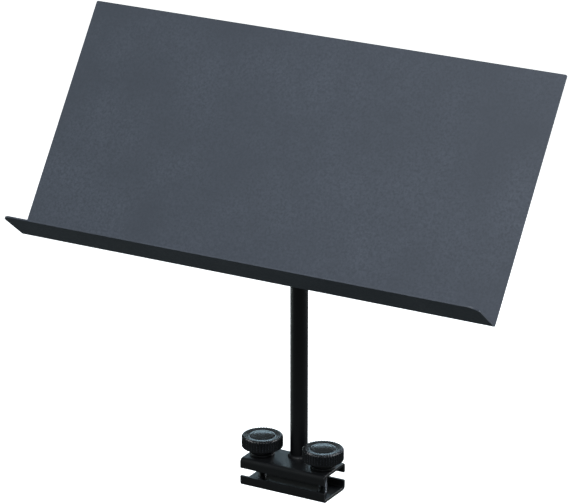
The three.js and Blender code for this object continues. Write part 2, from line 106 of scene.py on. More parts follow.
BOLT_RADIUS = 4
BOLT_PITCH = 1.25
BOLT_HOLE = 4.5  # radius, in the fixed jaw and the knobs
SQUARE_HOLE = 8.6  # across, for a bolt's square neck
HEAD_HEIGHT = 4.4
HEAD_RADIUS = 9.5
HEAD_RIM = 0.8
CLAMP_NECK = 3.7
PIVOT_NECK = 2.8
STUD_RADIUS = 2.5
STUD_PITCH = 0.8
STUD_WELD = 0.9  # the weld fillet's reach past the stud
STUD_TURN = {"left_upper": 0.3, "left_lower": 1.1, "right_upper": -0.5, "right_lower": 0.8}
NUT_ACROSS_FLATS = 8
NUT_FLANGE = 5.8
NUT_HEIGHT = 5
NUT_SERRATION = 0.22
THREAD_DEPTH = 0.61  # as a share of the pitch
THREAD_FLAT = 0.12  # how far crests and roots are flattened, as a share of the depth
THREAD_PLAY = 0.02

CLAMP_KNOB = {
    "radius": 20, "head": 12, "neck": 5, "neck_radius": 11.5, "ribs": 42, "rib_depth": 1.1,
    "chamfer": 1.4, "insert": 7, "insert_length": 12.5, "cap": 12.5,
}
TILT_KNOB = {
    "radius": 16, "head": 10.5, "neck": 5.5, "neck_radius": 9.5, "ribs": 34, "rib_depth": 1,
    "chamfer": 1.2, "insert": 6.5, "insert_length": 11, "cap": 9.5,
}
RIB_STEPS = 10
RIB_FULLNESS = 0.75  # below 1 the ribs are wider than the grooves
RIM_FLATNESS = 1.7  # 1 is a round rim and 2 a straight chamfer
TOP_DISH = 0.3  # a knob's top face falls this far to its cap
INSERT_RECESS = 0.4
KNURL_DEPTH = 0.45
KNURL_TEETH = 36
KNURL_WAIST = 0.9  # how far the bush's plain waist is turned down
CAP_PLATE = 1.8
CAP_CROWN = 0.9

WELD_LEG = 2.3
WELD_WANDER = 0.35
WELD_RIPPLES = 44

EDGE_ROUND = 0.35  # on the desk sheet
BRACKET_ROUND = 0.3
HEAD_ROUND = 0.4
JAW_ROUND = 0.5
FINE_ROUND = 0.2  # on the washers and discs
PIN_ROUND = 0.15

# ---- Stage, in metres ----

FLOOR_Z = -0.6
PAPER_GLOW = 0.9
WORLD_STRENGTH = (0.1, 0.22)  # below the horizon and overhead
VIEW_YAW = math.radians(29.73)
VIEW_PITCH = math.radians(19.71)
VIEW_DISTANCE = 3.2428
VIEW_TARGET = Vector((-0.00941, 0, 0.21977))
SENSOR = 36
LENS = 219.3


# ---- Meshes ----


def mesh_object(name, bm, place=Matrix.Identity(4)):
    """A mesh object from a bmesh in millimetres, moved by place and written in metres."""
    bmesh.ops.transform(bm, matrix=Matrix.Scale(MM, 4) @ place, verts=bm.verts)
    bmesh.ops.recalc_face_normals(bm, faces=bm.faces)
    mesh = bpy.data.meshes.new(name)
    bm.to_mesh(mesh)
    bm.free()
    obj = bpy.data.objects.new(name, mesh)
    bpy.context.scene.collection.objects.link(obj)
    return obj


def loft(rings, loop=False):
    """A closed surface through rings of equal length. Open lofts are capped, and a loop joins its ends."""
    bm = bmesh.new()
    rows = [[bm.verts.new(point) for point in ring] for ring in rings]
    count = len(rows[0])
    pairs = list(zip(rows, rows[1:]))
    if loop:
        pairs.append((rows[-1], rows[0]))
    for row, following in pairs:
        for i in range(count):
            j = (i + 1) % count
            bm.faces.new((row[i], row[j], following[j], following[i]))
    if not loop:
        bm.faces.new(list(reversed(rows[0])))
        bm.faces.new(rows[-1])
    return bm


def around(radius_at, z, steps):
    """A ring about Z. radius_at takes the angle, or is one radius."""
    points = []
    for i in range(steps):
        angle = 2 * math.pi * i / steps
        radius = radius_at(angle) if callable(radius_at) else radius_at
        points.append(Vector((radius * math.cos(angle), radius * math.sin(angle), z)))
    return points


def lathe(profile, steps=64, loop=True):
    """A surface of revolution about Z through (radius, height) points: a ring, or capped if loop is off."""
    return loft([around(radius, z, steps) for radius, z in profile], loop)


def prism(outline, start, end, axis="z"):
    """A prism along an axis. Its outline's points are (x, y) along z, (y, z) along x and (x, z) along y."""
    def at(point, along):
        a, b = point
        return {"x": (along, a, b), "y": (a, along, b), "z": (a, b, along)}[axis]
    return loft([[at(point, start) for point in outline], [at(point, end) for point in outline]])


def cylinder(radius, start, end, place, steps=48):
    """A round solid along Z from start to end, moved by place."""
    return mesh_object("cutter", loft([around(radius, start, steps), around(radius, end, steps)]), place)


def arc(centre, radius, start, end, steps):
    """Points on an arc, both ends included, with its angles in radians."""
    return [
        (
            centre[0] + radius * math.cos(start + (end - start) * i / steps),
            centre[1] + radius * math.sin(start + (end - start) * i / steps),
        )
        for i in range(steps + 1)
    ]


def rounded_square(half, radius, steps=3):
    """The outline of a square about the origin, with rounded corners."""
    points = []
    for corner, (side_a, side_b) in enumerate(((1, 1), (-1, 1), (-1, -1), (1, -1))):
        centre = (side_a * (half - radius), side_b * (half - radius))
        start = corner * math.pi / 2
        points += arc(centre, radius, start, start + math.pi / 2, steps)
    return points


def folded_outline(corners, sheet, outside, steps=10):
    """A folded sheet's outline through its outer skin's corners, with the sheet on the left of travel."""
    outer, inner = [], []
    last = len(corners) - 1
    for i, corner in enumerate(corners):
        before = corner - corners[max(i - 1, 0)]
        after = corners[min(i + 1, last)] - corner
        if i in (0, last):
            leg = after if i == 0 else before
            left = Vector((-leg.y, leg.x)).normalized()
            outer.append(corner)
            inner.append(corner + left * sheet)
            continue
        fold = -before.angle_signed(after)
        left = Vector((-before.y, before.x)).normalized()
        centre = corner - before.normalized() * outside * math.tan(fold / 2) + left * outside
        start = math.atan2(-left.y, -left.x)
        for point in arc(centre, outside, start, start + fold, steps):
            spoke = (Vector(point) - centre).normalized()
            outer.append(centre + spoke * outside)
            inner.append(centre + spoke * (outside - sheet))
    return [tuple(point) for point in outer + inner[::-1]]


def applied(obj):
    """The object with its modifiers applied to its mesh."""
    bpy.context.view_layer.update()
    evaluated = obj.evaluated_get(bpy.context.evaluated_depsgraph_get())
    mesh = bpy.data.meshes.new_from_object(evaluated)
    old = obj.data
    obj.modifiers.clear()
    obj.data = mesh
    bpy.data.meshes.remove(old)
    mesh.name = obj.name
    return obj


def combined(obj, others, operation):
    """obj joined with, cut by or kept inside the other solids, which are used up."""
    for other in others:
        modifier = obj.modifiers.new(operation, "BOOLEAN")
        modifier.operation = operation
        modifier.solver = "EXACT"
        modifier.object = other
    applied(obj)
    for other in others:
        mesh = other.data
        bpy.data.objects.remove(other)
        bpy.data.meshes.remove(mesh)
    return obj


def rounded(obj, width, segments=3, angle=32):
    """Sharp edges rounded, with the flat faces' own normals kept."""
    bevel = obj.modifiers.new("round", "BEVEL")
    bevel.width = width * MM
    bevel.segments = segments
    bevel.limit_method = "ANGLE"
    bevel.angle_limit = math.radians(angle)
    bevel.use_clamp_overlap = True
    bevel.miter_outer = "MITER_ARC"
    return smoothed(applied(obj), angle)


def smoothed(obj, angle=32):
    """Smooth shading with sharp edges past the angle, weighted by face area."""
    bm = bmesh.new()
    bm.from_mesh(obj.data)
    limit = math.radians(angle)
    for face in bm.faces:
        face.smooth = True
    for edge in bm.edges:
        edge.smooth = len(edge.link_faces) == 2 and edge.calc_face_angle(0) < limit
    bm.to_mesh(obj.data)
    bm.free()
    weighted = obj.modifiers.new("normals", "WEIGHTED_NORMAL")
    weighted.keep_sharp = True
    return applied(obj)


# ---- Places ----


def box_mm(node):
    low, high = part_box(node)
    return low / MM, high / MM


def centre_mm(node):
    low, high = box_mm(node)
    return (low + high) / 2


def joint(name):
    return next(j for j in frame["joints"] if j["name"] == name)


def mount(name):
    return next(m for m in frame["record"]["mounts"] if m["name"] == name)


TO_X = Matrix.Rotation(math.pi / 2, 4, "Y")  # lays a piece's +Z along +X
TO_Y = Matrix.Rotation(-math.pi / 2, 4, "X")  # lays a piece's +Z along +Y
HINGE = Vector(joint("desk_tilt")["pos_m"]) / MM
DESK_LEAN = math.atan2(mount("desk_front")["axis"][2], -mount("desk_front")["axis"][1])
DESK = Matrix.Translation(HINGE) @ Matrix.Rotation(-DESK_LEAN, 4, "X")  # +Z up the slope, +Y out of the back


def on_desk(node):
    """A desk node's centre in the desk's own frame."""
    return DESK.inverted() @ centre_mm(node)


def on_hinge(x):
    """The place on the hinge axis at x, with +Z along +X."""
    return DESK @ Matrix.Translation((x, 0, 0)) @ TO_X


# ---- Materials ----


class Finish:
    """A Principled material with short calls for its node tree."""

    def __init__(self, name, **values):
        self.material = bpy.data.materials.new(name)
        self.material.use_nodes = True
        self.tree = self.material.node_tree
        self.shader = self.tree.nodes["Principled BSDF"]
        for socket, value in values.items():
            self.shader.inputs[socket.replace("_", " ")].default_value = value
        self.place = self.node("ShaderNodeTexCoord").outputs["Object"]

    def node(self, kind, **values):
        made = self.tree.nodes.new(kind)
        for key, value in values.items():
            setattr(made, key, value)
        return made

    def link(self, source, target):
        self.tree.links.new(source, target)

    def noise(self, scale, detail=2.0, roughness=0.5, stretch=(1, 1, 1), offset=(0, 0, 0)):
        """Noise with features of 1/scale metres, stretched along an axis if asked."""
        mapping = self.node("ShaderNodeMapping")
        mapping.inputs["Location"].default_value = offset
        mapping.inputs["Scale"].default_value = stretch
        self.link(self.place, mapping.inputs["Vector"])
        made = self.node("ShaderNodeTexNoise")
        made.inputs["Scale"].default_value = scale
        made.inputs["Detail"].default_value = detail
        made.inputs["Roughness"].default_value = roughness
        self.link(mapping.outputs["Vector"], made.inputs["Vector"])
        return made.outputs["Fac"]

    def ramp(self, source, low, high, start, end):
        """source from low..high mapped to start..end, clamped."""
        made = self.node("ShaderNodeMapRange")
        for socket, value in zip(("From Min", "From Max", "To Min", "To Max"), (low, high, start, end)):
            made.inputs[socket].default_value = value
        self.link(source, made.inputs["Value"])
        return made.outputs["Result"]

    def math(self, operation, a, b):
        """A math node on two sockets."""
        made = self.node("ShaderNodeMath", operation=operation)
        self.link(a, made.inputs[0])
        self.link(b, made.inputs[1])
        return made.outputs["Value"]

    def mix(self, share, a, b):
        """Two colours mixed by the share socket. Each is a socket or an RGB triple."""
        made = self.node("ShaderNodeMix", data_type="RGBA")
        self.link(share, made.inputs[0])
        for socket, value in ((made.inputs[6], a), (made.inputs[7], b)):
            if isinstance(value, tuple):
                socket.default_value = (*value, 1)
            else:
                self.link(value, socket)
        return made.outputs[2]

    def sharp_edges(self, reach, low=0.02, high=0.25):
        """1 on sharp edges and 0 on flat faces, by how far a rounded normal turns from the real one."""
        soft = self.node("ShaderNodeBevel", samples=4)
        soft.inputs["Radius"].default_value = reach
        hard = self.node("ShaderNodeNewGeometry")
        dot = self.node("ShaderNodeVectorMath", operation="DOT_PRODUCT")
        self.link(soft.outputs["Normal"], dot.inputs[0])
        self.link(hard.outputs["Normal"], dot.inputs[1])
        return self.ramp(dot.outputs["Value"], 1 - low, 1 - high, 0, 1)

    def bump(self, *layers):
        """Bump from (height socket, distance in metres) layers."""
        normal = None
        for height, distance in layers:
            made = self.node("ShaderNodeBump")
            made.inputs["Distance"].default_value = distance
            self.link(height, made.inputs["Height"])
            if normal:
                self.link(normal, made.inputs["Normal"])
            normal = made.outputs["Normal"]
        self.link(normal, self.shader.inputs["Normal"])

    def colour(self, source):
        self.link(source, self.shader.inputs["Base Color"])

    def roughness(self, source):
        self.link(source, self.shader.inputs["Roughness"])


def powder_coat(name, light, dark, wear_and_glint_colour, grain, gloss, wear, speckle=(1500, 0.5)):
    """A baked powder coat: a pebbled skin, faint clouding, and thin wear on its edges.

    grain is the pebbles' scale, gloss a (roughness, spread), wear how far edges turn to the edge colour, and
    speckle a (scale, share of the dark colour)."""
    finish = Finish(name, Specular_IOR_Level=0.5)
    cloud = finish.noise(9, 4, 0.6)
    speck = finish.noise(speckle[0], 2, 0.7)
    pebble = finish.noise(grain, 3, 0.6)
    shade = finish.mix(finish.ramp(cloud, 0.3, 0.7, 0, 1), dark, light)
    shade = finish.mix(finish.ramp(speck, 0.35, 0.65, 0, speckle[1]), shade, dark)
    scuff = finish.noise(120, 5, 0.75, offset=(3, 1, 2))
    edge = finish.math("MULTIPLY", finish.sharp_edges(0.0006), finish.ramp(scuff, 0.42, 0.66, 0, wear))
    finish.colour(finish.mix(edge, shade, wear_and_glint_colour))
    base, spread = gloss
    handled = finish.noise(35, 5, 0.65, offset=(5, 0, 1))
    rough = finish.ramp(handled, 0.3, 0.7, base - spread, base + spread)
    finish.roughness(finish.math("ADD", rough, finish.ramp(speck, 0.3, 0.7, -0.04, 0.04)))
    finish.bump((pebble, 0.00006), (finish.noise(grain * 3, 2), 0.00002))
    return finish.material


def moulded_plastic(name, light, dark, wear_and_glint_colour, rough):
    """Moulded plastic: a fine spark-eroded skin, duller where hands rub it, and paler on its edges: partly
    wear, partly a painted highlight on the ribs' crests.
    """
    finish = Finish(name, Specular_IOR_Level=0.5)
    skin = finish.noise(4200, 2, 0.6)
    handling = finish.noise(70, 4, 0.6, offset=(2, 7, 1))
    shade = finish.mix(finish.ramp(handling, 0.35, 0.65, 0, 1), dark, light)
    rub_and_glint_share = finish.ramp(handling, 0.4, 0.62, 0.25, 0.8)
    # The paler edge colour is real wear, and on the ribbed knobs also a painted highlight that lights the rib
    # crests as a lamp would.
    edge = finish.math("MULTIPLY", finish.sharp_edges(0.0006, 0.01, 0.12), rub_and_glint_share)
    finish.colour(finish.mix(edge, shade, wear_and_glint_colour))
    finish.roughness(finish.ramp(handling, 0.3, 0.7, rough - 0.07, rough + 0.08))
    finish.bump((skin, 0.00003), (finish.noise(600, 3), 0.00003))
    return finish.material


def bright_metal(name, light, dark, stain, rough, stain_share):
    """Plated or turned metal: fine streaks, faint spangle, and dull stains in patches."""
    finish = Finish(name, Metallic=1.0)
    streak = finish.noise(900, 3, 0.6, stretch=(1, 1, 0.12))
    patch = finish.noise(160, 5, 0.7, offset=(1, 4, 2))
    shade = finish.mix(finish.ramp(streak, 0.3, 0.7, 0, 1), dark, light)
    finish.colour(finish.mix(finish.ramp(patch, 0.5, 0.72, 0, stain_share), shade, stain))
    dulled = finish.ramp(patch, 0.3, 0.75, rough - 0.06, rough + 0.2)
    finish.roughness(finish.math("ADD", dulled, finish.ramp(streak, 0.3, 0.7, -0.04, 0.04)))
    finish.bump((streak, 0.00002), (finish.noise(2600, 2), 0.000012))
    return finish.material


DESK_PAINT = powder_coat(
    "desk_paint",
    light=(0.102, 0.118, 0.152), dark=(0.064, 0.075, 0.097), wear_and_glint_colour=(0.16, 0.175, 0.2),
    grain=1100, gloss=(0.56, 0.05), wear=0.3, speckle=(420, 1),
)
BLACK_PAINT = powder_coat(
    "black_paint",
    light=(0.0085, 0.009, 0.0105), dark=(0.006, 0.0065, 0.0075), wear_and_glint_colour=(0.06, 0.065, 0.07),
    grain=1300, gloss=(0.34, 0.05), wear=0.45,
)
WELD_PAINT = powder_coat(
    "weld_paint",
    light=(0.009, 0.0095, 0.011), dark=(0.006, 0.0065, 0.0075), wear_and_glint_colour=(0.04, 0.043, 0.047),
    grain=700, gloss=(0.42, 0.08), wear=0.3,
)
# Its pale bluish edge colour paints highlights along the knobs' rib crests, besides edge wear.
BLACK_PLASTIC = moulded_plastic(
    "black_plastic",
    light=(0.01, 0.0108, 0.0125), dark=(0.006, 0.0066, 0.008), wear_and_glint_colour=(0.1, 0.112, 0.135), rough=0.17,
)
GREY_NYLON = moulded_plastic(
    "grey_nylon", light=(0.16, 0.165, 0.17), dark=(0.11, 0.115, 0.12), wear_and_glint_colour=(0.26, 0.27, 0.27), rough=0.5,
)
ZINC_STEEL = bright_metal(
    "zinc_steel",
    light=(0.66, 0.68, 0.71), dark=(0.5, 0.52, 0.55), stain=(0.34, 0.33, 0.31), rough=0.26, stain_share=0.4,
)
# A darkened copy of the zinc steel: painted shade for the clamp bolts and washers, which sit in shadow under
# the knobs and in the jaws' gap.
ZINC_IN_PAINTED_SHADE = bright_metal(
    "zinc_painted_shade",
    light=(0.11, 0.113, 0.12), dark=(0.065, 0.068, 0.072), stain=(0.03, 0.03, 0.03),
    rough=0.36, stain_share=0.7,
)
BRASS = bright_metal(
    "brass",
    light=(0.72, 0.52, 0.22), dark=(0.56, 0.4, 0.17), stain=(0.3, 0.2, 0.1), rough=0.3, stain_share=0.4,
)


def dressed(obj, material, slot, body, *nodes):
    """The piece's material, the body it rides on, and the CAD nodes that it stands for. The slot is not used.
    """
    obj.data.materials.clear()
    obj.data.materials.append(material)
    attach(obj, body)
    if nodes:
        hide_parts(*nodes)
    return obj


# ---- Desk sheet ----


def corner_steps(radius):
    """Distances in from a free edge, at even steps round its rounded corner."""
    return [radius * (1 - math.cos(math.pi / 2 * i / CORNER_STEPS)) for i in range(CORNER_STEPS + 1)]


def desk_rows():
    """Rows from the ledge's free edge round the fold to the top, as points (y, z) in the desk's own frame.

    Each is (distance from the nearer free edge, its corner radius, outer skin point, inward normal)."""
    fold = Vector((DESK_BACK_Y, DESK_FOLD_Z))
    out = Vector((-math.sin(LEDGE_ANGLE), math.cos(LEDGE_ANGLE)))
    ledge_inward = Vector((out.y, -out.x))
    up = Vector((0, 1))
    panel_inward = Vector((-1, 0))
    turn = math.pi - LEDGE_ANGLE
    leg = DESK_BEND_OUTSIDE * math.tan(turn / 2)

    ledge_flat = LEDGE_DEPTH - leg
    straight = ledge_flat - LEDGE_CORNER
    steps = 8
    distances = corner_steps(LEDGE_CORNER)
    distances += [LEDGE_CORNER + straight * i / steps for i in range(1, steps + 1)]
    rows = [(s, LEDGE_CORNER, fold + out * (LEDGE_DEPTH - s), ledge_inward) for s in distances]

    centre = fold + up * leg + panel_inward * DESK_BEND_OUTSIDE
    first = math.atan2(-ledge_inward.y, -ledge_inward.x)
    steps = 12
    for i in range(1, steps):
        angle = first + turn * i / steps
        spoke = Vector((math.cos(angle), math.sin(angle)))
        rows.append((LEDGE_DEPTH, LEDGE_CORNER, centre + spoke * DESK_BEND_OUTSIDE, -spoke))

    panel_flat = DESK_HEIGHT - leg
    straight = panel_flat - DESK_CORNER
    steps = 36
    heights = [straight * i / steps for i in range(steps + 1)]
    heights += [panel_flat - s for s in reversed(corner_steps(DESK_CORNER)[:-1])]
    rows += [(panel_flat - h, DESK_CORNER, fold + up * (leg + h), panel_inward) for h in heights]
    return rows


def sheet_wave(x, skin):
    """How far the sheet strays from flat at a point."""
    place = Vector((x / DESK_WAVE_LENGTH, skin.x / DESK_WAVE_LENGTH, skin.y / DESK_WAVE_LENGTH))
    return DESK_WAVE * noise.noise(place + Vector((7, 3, 1)))


def desk_sheet():
    rows = desk_rows()
    bm = bmesh.new()
    grids = []
    for layer in (0, DESK_SHEET):
        grid = []
        for distance, radius, skin, inward in rows:
            inset = radius - math.sqrt(max(radius**2 - max(radius - distance, 0) ** 2, 0))
            half = DESK_WIDTH / 2 - inset
            line = []
            for c in range(DESK_COLUMNS + 1):
                x = half * (2 * c / DESK_COLUMNS - 1)
                point = skin + inward * (layer + sheet_wave(x, skin))
                line.append(bm.verts.new((x, point.x, point.y)))
            grid.append(line)
        grids.append(grid)
    back, front = grids
    last = len(rows) - 1
    for r in range(last):
        for c in range(DESK_COLUMNS):
            bm.faces.new((back[r][c], back[r][c + 1], back[r + 1][c + 1], back[r + 1][c]))
            bm.faces.new((front[r][c], front[r + 1][c], front[r + 1][c + 1], front[r][c + 1]))
        for c in (0, DESK_COLUMNS):
            bm.faces.new((back[r][c], back[r + 1][c], front[r + 1][c], front[r][c]))
    for r in (0, last):
        for c in range(DESK_COLUMNS):
            bm.faces.new((back[r][c], back[r][c + 1], front[r][c + 1], front[r][c]))
    bmesh.ops.remove_doubles(bm, verts=bm.verts, dist=1e-4)
    sheet = rounded(mesh_object("desk_sheet", bm, DESK), EDGE_ROUND)
    dressed(sheet, DESK_PAINT, "desk_paint", "desk", "desk_panel")


# ---- Threads, bolts and nuts ----


def thread_radius(radius, pitch):
    """The radius of a rounded 60 degree thread about Z, as a function of the height and then the angle."""
    depth = THREAD_DEPTH * pitch

    def at(z):
        def ring(angle):
            phase = (z / pitch - angle / (2 * math.pi)) % 1
            crest = 1 - abs(2 * phase - 1)
            root = 1 + THREAD_FLAT - (1 + 2 * THREAD_FLAT) * crest
            return radius - depth * min(max(root, 0), 1)
        return ring
    return at


def threaded_rings(radius, pitch, start, end, chamfer, steps):
    """Rings of a threaded shank from start to its chamfered end."""
    thread = thread_radius(radius, pitch)
    core = radius - THREAD_DEPTH * pitch
    per_pitch = 8
    count = max(2, round((end - start) / pitch * per_pitch))
    rings = []
    for i in range(count + 1):
        z = start + (end - start) * i / count
        run_out = min((z - start) / pitch, 1)
        nose = core + max(end - z, 0) - 0.35 * chamfer
        at_z = thread(z)
        rings.append(around(lambda a: min(core + (at_z(a) - core) * run_out, nose), z, steps))
    return rings


def bore_rings(radius, pitch, top, bottom, count, least, steps):
    """Rings of a threaded bore from just under its top down, never narrower than least."""
    thread = thread_radius(radius, pitch)
    rings = []
    for i in range(1, count):
        z = top - (top - bottom) * i / count
        at_z = thread(z)
        rings.append(around(lambda a: max(at_z(a), least), z, steps))
    return rings


def square_radius(half, softness=14):
    """The radius of a square with slightly rounded corners."""
    return lambda a: half / (abs(math.cos(a)) ** softness + abs(math.sin(a)) ** softness) ** (1 / softness)


def carriage_bolt(name, length, neck, place):
    """A domed carriage bolt with its head below Z = 0 and its square neck and thread above."""
    steps = 64
    dome_steps = 12
    crown = HEAD_HEIGHT - HEAD_RIM
    rings = []
    for i in range(1, dome_steps + 1):
        angle = math.pi / 2 * i / dome_steps
        rings.append(around(HEAD_RADIUS * math.sin(angle), -HEAD_RIM - crown * math.cos(angle), steps))
    for inset, z in ((0, -0.35), (0.12, -0.1), (0.35, 0)):
        rings.append(around(HEAD_RADIUS - inset, z, steps))
    square = square_radius(BOLT_RADIUS)
    fillet = 0.25
    rings.append(around(lambda a: square(a) + fillet, 0, steps))
    rings.append(around(square, fillet, steps))
    rings.append(around(square, neck - 0.5, steps))
    core = BOLT_RADIUS - THREAD_DEPTH * BOLT_PITCH
    rings.append(around(core + fillet, neck, steps))
    rings += threaded_rings(BOLT_RADIUS, BOLT_PITCH, neck + 0.3, length, 0.8, steps)
    return smoothed(mesh_object(name, loft(rings), place), 50)


def flange_nut(name, place):
    """A hexagon nut on a serrated flange, with a chamfered top and a threaded bore. It stands on Z = 0."""
    steps = 72
    half = NUT_ACROSS_FLATS / 2
    corner = half / math.cos(math.pi / 6)
    bore = STUD_RADIUS + THREAD_PLAY
    mouth = bore + 0.5

    def hexagon(limit):
        return lambda a: min(half / math.cos(a % (math.pi / 3) - math.pi / 6), limit)

    rings = [
        around(mouth, 0.2, steps),
        around(NUT_FLANGE - 1.6, 0.2, steps),
        around(NUT_FLANGE - 0.25, 0, steps),
        around(NUT_FLANGE, 0.25, steps),
        around(NUT_FLANGE, 0.8, steps),
        around(NUT_FLANGE - 0.3, 1.1, steps),
        around(corner + 0.25, 1.35, steps),
        around(hexagon(corner), 1.65, steps),
        around(hexagon(corner), NUT_HEIGHT - 0.6, steps),
        around(hexagon(corner - 0.22), NUT_HEIGHT - 0.3, steps),
        around(half - 0.15, NUT_HEIGHT, steps),
        around(mouth, NUT_HEIGHT, steps),
    ]
    for ring in rings[1:3]:
        for point in ring[::3]:
            point.z += NUT_SERRATION
    countersink = 0.25
    rings += bore_rings(STUD_RADIUS + 0.5, STUD_PITCH, NUT_HEIGHT - countersink, countersink, 32, bore, steps)
    return smoothed(mesh_object(name, loft(rings, loop=True), place), 40)


def weld_stud(name, length, place):
    """A threaded stud on its weld fillet, standing on Z = 0."""
    steps = 40

    def ripple(reach):
        return lambda a: reach + 0.12 * math.sin(5 * a + reach) + 0.07 * math.sin(11 * a)

    rings = [
        around(ripple(STUD_RADIUS + STUD_WELD), -0.25, steps),
        around(ripple(STUD_RADIUS + STUD_WELD - 0.15), 0.1, steps),
        around(ripple(STUD_RADIUS + STUD_WELD - 0.55), 0.42, steps),
        around(STUD_RADIUS - 0.1, 0.75, steps),
    ]
    rings += threaded_rings(STUD_RADIUS, STUD_PITCH, 0.9, length, 0.4, steps)
    return smoothed(mesh_object(name, loft(rings), place), 50)


def washer(name, radius, thickness, place):
    """A flat washer with rounded rims and faint turned rings, standing on Z = 0."""
    hole = BOLT_RADIUS + GAP
    soft = FINE_ROUND
    softer = soft * 0.3
    groove = 0.05
    profile = [(hole + soft, 0), (radius - soft, 0), (radius - softer, softer), (radius, soft)]
    profile += [(radius, thickness - soft), (radius - softer, thickness - softer)]
    turned = 7
    for i in range(turned):
        middle = radius - soft - (radius - hole - 2 * soft) * (i + 0.5) / turned
        width = (radius - hole) / turned * 0.3
        profile += [(middle + width, thickness), (middle, thickness - groove), (middle - width, thickness)]
    profile += [(hole + soft, thickness), (hole, thickness - soft), (hole, soft)]
    return smoothed(mesh_object(name, lathe(profile, 72), place), 40)


# ---- Knobs ----


def rib_radius(knob):
    """The knob's outer radius at an angle: rounded ribs with rounded grooves between them."""
    def at(angle):
        share = (angle * knob["ribs"] / (2 * math.pi)) % 1
        wave = 0.5 - 0.5 * math.cos(2 * math.pi * share)
        return knob["radius"] - knob["rib_depth"] * (1 - wave ** RIB_FULLNESS)
    return at


def knob_shell(name, knob, place):
    """A ribbed head on a plain neck, with a pocket for the bush below and a seat for the cap on top."""
    steps = knob["ribs"] * RIB_STEPS
    ribs = rib_radius(knob)
    radius, neck, chamfer = knob["radius"], knob["neck"], knob["chamfer"]
    neck_radius = knob["neck_radius"]
    top = neck + knob["head"]
    seat = top - CAP_PLATE
    pocket = knob["insert"] + GAP
    pocket_top = INSERT_RECESS + knob["insert_length"] + GAP

    def ribbed(limit, z):
        return around(lambda a: ribs(a) + limit - radius, z, steps)

    rings = [around(pocket + 0.3, 0, steps)]
    for swell, z in ((-0.5, 0), (-0.15, 0.15), (0, 0.5), (0, neck - 0.9), (0.3, neck - 0.3), (0.9, neck)):
        rings.append(around(neck_radius + swell, z, steps))
    rim_steps = 5
    for i in range(rim_steps + 1):
        angle = math.pi / 2 * i / rim_steps
        reach = radius - chamfer * (1 - math.sin(angle))
        rings.append(ribbed(reach, neck + chamfer * (1 - math.cos(angle))))
    for i in range(1, 4):
        rings.append(ribbed(radius, neck + chamfer + (knob["head"] - 2 * chamfer) * i / 4))
    rim_steps = 7
    for i in range(rim_steps + 1):
        angle = math.pi / 2 * i / rim_steps
        reach = radius - chamfer * (1 - math.cos(angle) ** RIM_FLATNESS)
        rings.append(ribbed(reach, top - chamfer * (1 - math.sin(angle) ** RIM_FLATNESS)))
    dished = [
        (radius - chamfer - knob["rib_depth"] - 0.5, top - 0.02),
        (knob["cap"] + 1.2, top - TOP_DISH * 0.7),
        (knob["cap"] + 0.35, top - TOP_DISH),
        (knob["cap"], top - TOP_DISH - 0.3),
        (knob["cap"], seat),
    ]
    hollow = [(BOLT_HOLE, seat), (BOLT_HOLE, pocket_top), (pocket, pocket_top), (pocket, 0.3)]
    rings += [around(reach, z, steps) for reach, z in dished + hollow]
    return smoothed(mesh_object(name, loft(rings, loop=True), place), 40)


def knob_cap(name, knob, place):
    """A low domed cap with a rolled rim and one shallow ring."""
    radius = knob["cap"] - GAP
    plate = CAP_PLATE - GAP
    least = 0.4
    profile = [(least, 0), (radius - 0.2, 0), (radius, 0.2)]
    profile += [(radius, plate - 0.25), (radius - 0.1, plate - 0.07)]
    steps = 17
    for i in range(1, steps):
        share = 1 - i / steps
        ring = 0.16 * math.exp(-(((share - 0.72) / 0.05) ** 2))
        profile.append((max(radius * share, least), plate + CAP_CROWN * (1 - share**2) - ring))
    return smoothed(mesh_object(name, lathe(profile, 96, loop=False), place), 40)


def knob_insert(name, knob, place):
    """A knurled bush with a plain waist and a chamfered, threaded bore."""
    steps = KNURL_TEETH * 4
    length, outer = knob["insert_length"], knob["insert"]
    bore = BOLT_RADIUS + THREAD_PLAY
    mouth = bore + 0.7

    def knurl(angle):
        return outer - KNURL_DEPTH * abs((angle * KNURL_TEETH / (2 * math.pi)) % 1 - 0.5) * 2

    profile = [
        (mouth, 0),
        (outer - 0.6, 0),
        (knurl, 0.5),
        (knurl, length * 0.42),
        (outer - KNURL_WAIST, length * 0.46),
        (outer - KNURL_WAIST, length * 0.54),
        (knurl, length * 0.58),
        (knurl, length - 0.5),
        (outer - 0.6, length),
        (mouth, length),
    ]
    rings = [around(radius, z, steps) for radius, z in profile]
    countersink = 0.3
    count = round(length / BOLT_PITCH * 6)
    rings += bore_rings(BOLT_RADIUS + 0.78, BOLT_PITCH, length - countersink, countersink, count, bore, steps)
    return smoothed(mesh_object(name, loft(rings, loop=True), place), 40)


def knob(side, sizes, seat):
    """One knob's three pieces on their seat."""
    body = "tilt_knob" if side == "tilt" else f"knob_{side}"
    shell = knob_shell(f"ribbed_knob_{side}", sizes, seat)
    dressed(shell, BLACK_PLASTIC, "black_plastic", body, f"knob_shell_{side}")
    cap_z = sizes["neck"] + sizes["head"] - CAP_PLATE + GAP
    cap = knob_cap(f"cap_{side}", sizes, seat @ Matrix.Translation((0, 0, cap_z)))
    dressed(cap, BLACK_PLASTIC, "black_plastic", body, f"knob_cap_{side}")
    bush = knob_insert(f"threaded_bush_{side}", sizes, seat @ Matrix.Translation((0, 0, INSERT_RECESS)))
    dressed(bush, BRASS, "brass", body, f"knob_insert_{side}")


# ---- Tilt hinge ----


